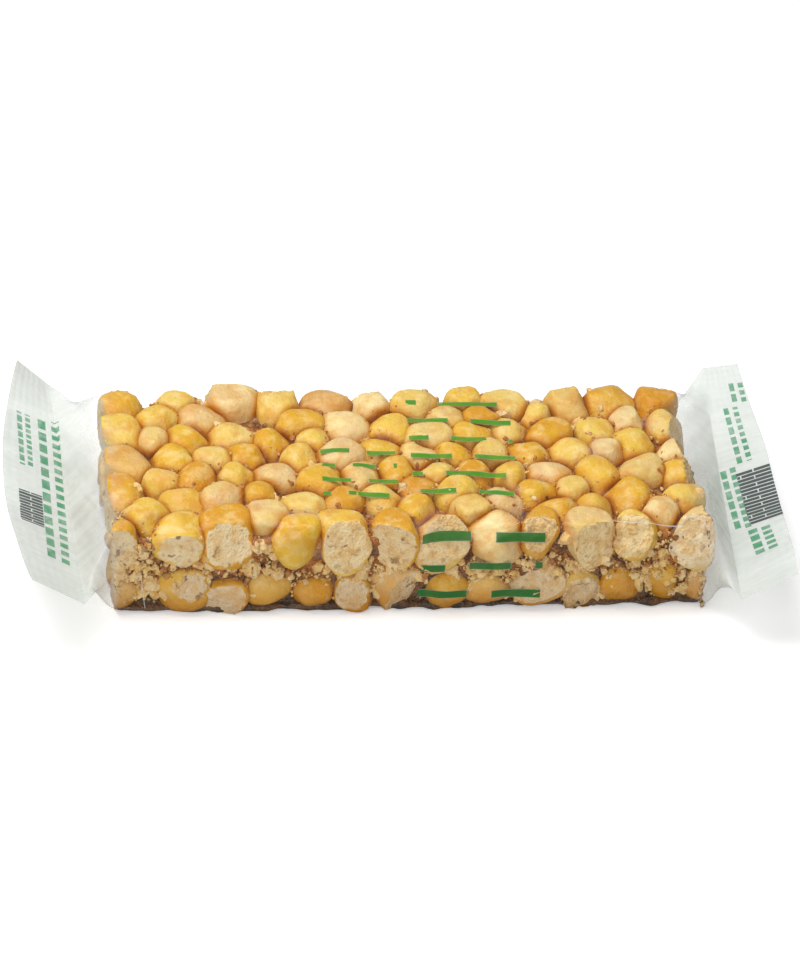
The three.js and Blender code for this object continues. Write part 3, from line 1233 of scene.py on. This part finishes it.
# painted highlights: thin white lines where folds in the film would catch the light
crease_glints_on_top = strips_on(
    on_top,
    place,
    (41.5, -20.4, 6.5, 0.1, 1.5),
    (-57.4, -25.5, 4.6, 0.12, -52),
    (-57, -12, 3.2, 0.1, -15),
    (57.6, -21, 3.6, 0.1, 48),
)
crease_glint = strongest(crease_glints_on_top, strips_on(on_front, upright, (-48, 4.5, 4.2, 0.1, 82)))
printed = strongest(leaf, forest, teal, dark)
ink = blend(tree, leaf, blend(tree, teal, rgb(6, 112, 28), rgb(50, 152, 102)), rgb(74, 150, 26))
ink = blend(tree, dark, ink, rgb(46, 58, 58))
milky = patches_on(tree, place, 60, 0.5, 0.35)
pulled = put(tree, "ShaderNodeVectorMath", {"operation": "MULTIPLY"}, i0=place, i1=(40, 260, 90)).outputs[0]
streaks = noise_on(tree, pulled, 1)
milky = calc(tree, "ADD", times(tree, milky, 0.4), times(tree, streaks, 1.5))
veil = times(tree, painted(tree, "haze"), calc(tree, "ADD", milky, 0.05))
# painted sheen: soft white spots laid on the film's milky veil where it would catch the light
sheen_spots = patches_on(tree, place, 95, 0.66, 0.07)
veil = calc(tree, "ADD", veil, times(tree, sheen_spots, 0.12))
veil = calc(tree, "ADD", veil, 0.003)
thin = patches_on(tree, place, 700, 0.5, 0.2)
thin = times(tree, thin, times(tree, teal, -0.45))  # the print on the ends is thin in places
cover = times(tree, printed, calc(tree, "ADD", thin, 0.88))
cover = calc(tree, "MAXIMUM", veil, cover, clamp=True)
# the painted crease highlights whiten the film along thin lines
cover = calc(tree, "MAXIMUM", cover, times(tree, crease_glint, 0.4), clamp=True)
feed(tree, shader, Base_Color=blend(tree, printed, rgb(240, 243, 239), ink))
clear = put(tree, "ShaderNodeBsdfTransparent")
thick = times(tree, calc(tree, "SUBTRACT", painted(tree, "haze"), 0.2, clamp=True), 4, clamp=True)
feed(tree, clear, Color=blend(tree, thick, (1, 1, 1, 1), (0.9, 0.93, 0.905, 1)))
gloss = put(tree, "ShaderNodeBsdfGlossy", Roughness=0.16)
edge = put(tree, "ShaderNodeLayerWeight", Blend=0.5)
glance = calc(tree, "ADD", times(tree, calc(tree, "POWER", edge.outputs["Facing"], 4), 0.45), 0.015)
crimp = painted(tree, "crimp")
ridges = calc(tree, "SINE", times(tree, crimp, 42))
ridges = times(tree, ridges, calc(tree, "GREATER_THAN", crimp, 0.02))
height = calc(tree, "ADD", noise_on(tree, place, 90), times(tree, ridges, 0.025))
film_bump = put(tree, "ShaderNodeBump", Height=height, Distance=0.002, Strength=0.4)
for node in (shader, gloss, edge):
    feed(tree, node, Normal=film_bump.outputs[0])
bare = put(tree, "ShaderNodeMixShader", i0=glance, i1=clear.outputs[0], i2=gloss.outputs[0])
whole = put(tree, "ShaderNodeMixShader", i0=cover, i1=bare.outputs[0], i2=shader.outputs[0])
feed(tree, tree.nodes["Material Output"], Surface=whole.outputs[0])
paint_all(film, clear_film)


# ---- where the pieces belong

for piece in (top_peas, base_peas, syrup, cream, caramel_bits, pea_bits):
    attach(piece, "root")
    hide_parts("brittle")
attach(film, "root")
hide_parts("wrapper_end_left", "wrapper_end_right")


# ---- stage, camera and light

floor = add_shape("floor", bpy.ops.mesh.primitive_plane_add, size=6, location=(0, 0, 0))
# the table is seen white, with a faint shadow, yet throws little light up at the sides
floor_paint, tree, shader = new_material("floor_paint", Roughness=0.9, Emission_Color=(1, 1, 1, 1))
seen = put(tree, "ShaderNodeLightPath").outputs["Is Camera Ray"]
feed(tree, shader, Base_Color=blend(tree, seen, (0.6, 0.6, 0.6, 1), (0.96, 0.96, 0.96, 1)))
feed(tree, shader, Emission_Strength=times(tree, seen, 0.3))
paint_all(floor, floor_paint)

look = Vector(
    (
        -math.sin(CAMERA_AZIMUTH) * math.cos(CAMERA_ELEVATION),
        math.cos(CAMERA_AZIMUTH) * math.cos(CAMERA_ELEVATION),
        -math.sin(CAMERA_ELEVATION),
    )
)
level_right = Vector((math.cos(CAMERA_AZIMUTH), math.sin(CAMERA_AZIMUTH), 0))
level_up = level_right.cross(look)
camera_data = bpy.data.cameras.new("camera")
camera_data.sensor_fit = "HORIZONTAL"
camera_data.sensor_width = SENSOR
camera_data.lens = SENSOR * LENS_PER_WIDTH
camera_data.clip_start = 0.01
camera = bpy.data.objects.new("camera", camera_data)
show(camera)
right = math.cos(CAMERA_ROLL) * level_right + math.sin(CAMERA_ROLL) * level_up
up = -math.sin(CAMERA_ROLL) * level_right + math.cos(CAMERA_ROLL) * level_up
stand = CAMERA_AIM + CAMERA_AIM_RIGHT * level_right + CAMERA_AIM_UP * level_up - CAMERA_DISTANCE * look
camera.matrix_world = Matrix.Translation(stand) @ Matrix((right, up, -look)).transposed().to_4x4()
bpy.context.scene.camera = camera


def soft_light(name, place, size, power):
    """A square light that faces the middle of the frame."""
    light = bpy.data.lights.new(name, "AREA")
    light.size = size
    light.energy = power
    lamp = bpy.data.objects.new(name, light)
    lamp.location = place
    lamp.rotation_euler = (-Vector(place)).to_track_quat("-Z", "Y").to_euler()
    show(lamp)


soft_light("top_light", (-0.18, 0.1, 0.6), 0.38, 2.95)
soft_light("front_light", (-0.25, -0.6, 0.4), 0.6, 2.1)

world = bpy.data.worlds.new("studio")
bpy.context.scene.world = world
world.use_nodes = True
background = world.node_tree.nodes["Background"]
feed(world.node_tree, background, Color=(1, 1, 1, 1), Strength=0.32)
bpy.context.scene.view_settings.view_transform = "Standard"
